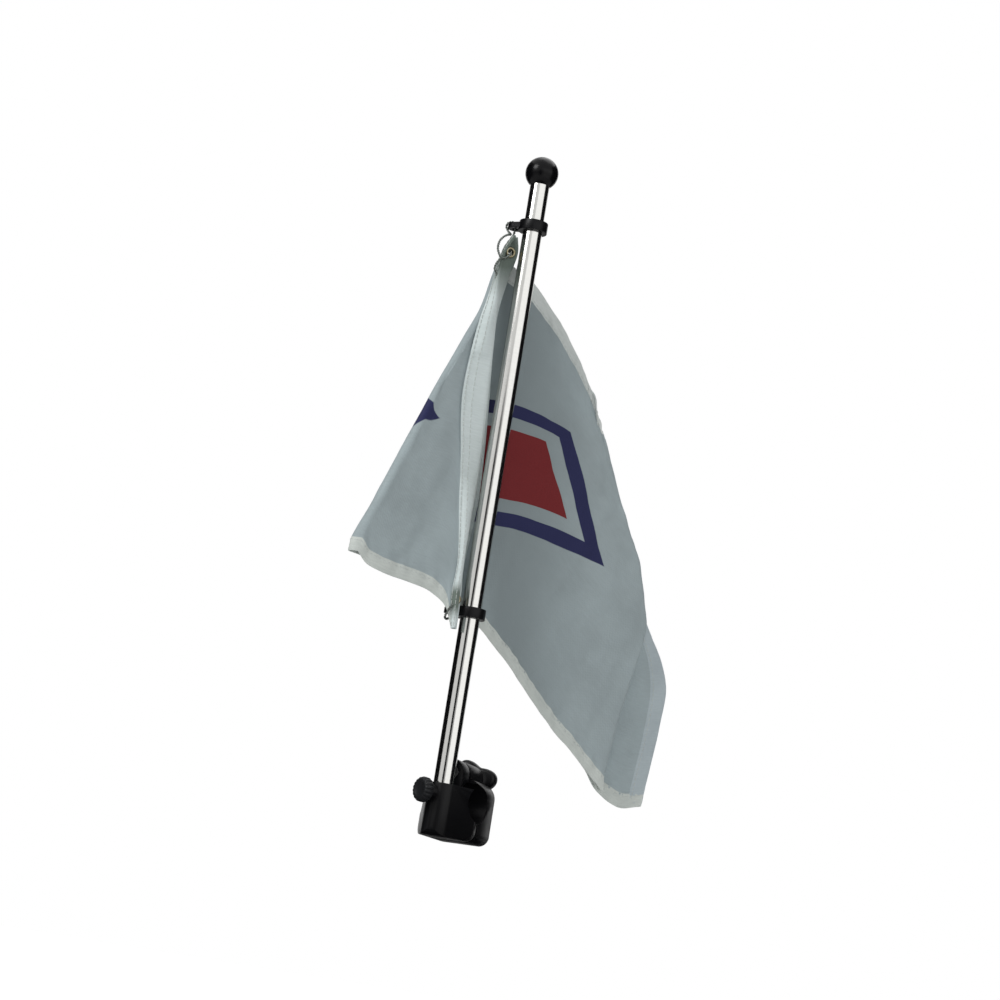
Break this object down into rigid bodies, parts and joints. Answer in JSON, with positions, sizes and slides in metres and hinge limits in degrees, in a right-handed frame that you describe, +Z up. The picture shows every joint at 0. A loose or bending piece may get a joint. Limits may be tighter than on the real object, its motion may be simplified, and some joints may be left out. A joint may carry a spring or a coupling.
{
  "type": "rail-mounted boat flagpole",
  "caption": "Slim steel flagpole with a ball top, standing in a knob-tightened rail clamp, with a small hemmed cloth flag hanging folded from clips on the pole.",
  "frame": {"origin": "on the axis of the rail that the clamp grips, at the middle of the clamp", "axes": "+X along the rail, +Y to the rear where the hand knob is, +Z up along the pole"},
  "size_m": [0.1577, 0.2119, 0.4443],
  "materials": {
    "polished_stainless": "polished",
    "stainless_fastener": "satin",
    "black_nylon": "moulded, satin",
    "gloss_black_nylon": "moulded, smooth",
    "heading_canvas": "woven",
    "flag_nylon": "woven",
    "grommet_brass": "plated",
    "tie_wire": "drawn"
  },
  "bodies": {
    "clamp": {"clamp_body": "black_nylon", "clamp_nut": "stainless_fastener"},
    "jaw": {"clamp_jaw": "black_nylon"},
    "knob": {"clamp_screw": "stainless_fastener", "clamp_washer": "stainless_fastener", "clamp_knob": "black_nylon"},
    "lock_pin": {"lock_screw": "stainless_fastener"},
    "lock_hand_knob": {"lock_knob": "black_nylon"},
    "pole": {"pole_tube": "polished_stainless", "ball_finial": "gloss_black_nylon"},
    "flag": {"upper_clip": "black_nylon", "lower_clip": "black_nylon", "upper_tie": "tie_wire", "lower_tie": "tie_wire", "upper_grommet": "grommet_brass", "lower_grommet": "grommet_brass", "flag_heading": "heading_canvas", "flag_front_fold": "flag_nylon", "flag_back_panel": "flag_nylon", "flag_fly_fold": "flag_nylon"}
  },
  "joints": [
    {"name": "jaw_slide", "type": "slide", "parent": "clamp", "child": "jaw", "axis": [0, 1, 0], "range_m": [0, 0.0075]},
    {"name": "knob_turn", "type": "hinge", "parent": "jaw", "child": "knob", "pos_m": [0, 0, 0.0172], "axis": [0, 1, 0], "range_deg": [0, 2705]},
    {"name": "lock_slide", "type": "slide", "parent": "clamp", "child": "lock_pin", "axis": [-0.5, -0.866, 0], "range_m": [0, 0.0022]},
    {"name": "lock_turn", "type": "hinge", "parent": "lock_pin", "child": "lock_hand_knob", "pos_m": [0, -0.022, 0.002], "axis": [-0.5, -0.866, 0], "range_deg": [0, 995]},
    {"name": "pole_lift", "type": "slide", "parent": "clamp", "child": "pole", "axis": [0, 0, 1], "range_m": [0, 0.028]},
    {"name": "flag_swivel", "type": "hinge", "parent": "pole", "child": "flag", "pos_m": [0, -0.022, 0], "axis": [0, 0, 1], "continuous": true}
  ],
  "couplings": [
    {"joint": "knob_turn", "follows": "jaw_slide", "rad_per_m": 6283.2},
    {"joint": "lock_turn", "follows": "lock_slide", "rad_per_m": 7854}
  ]
}
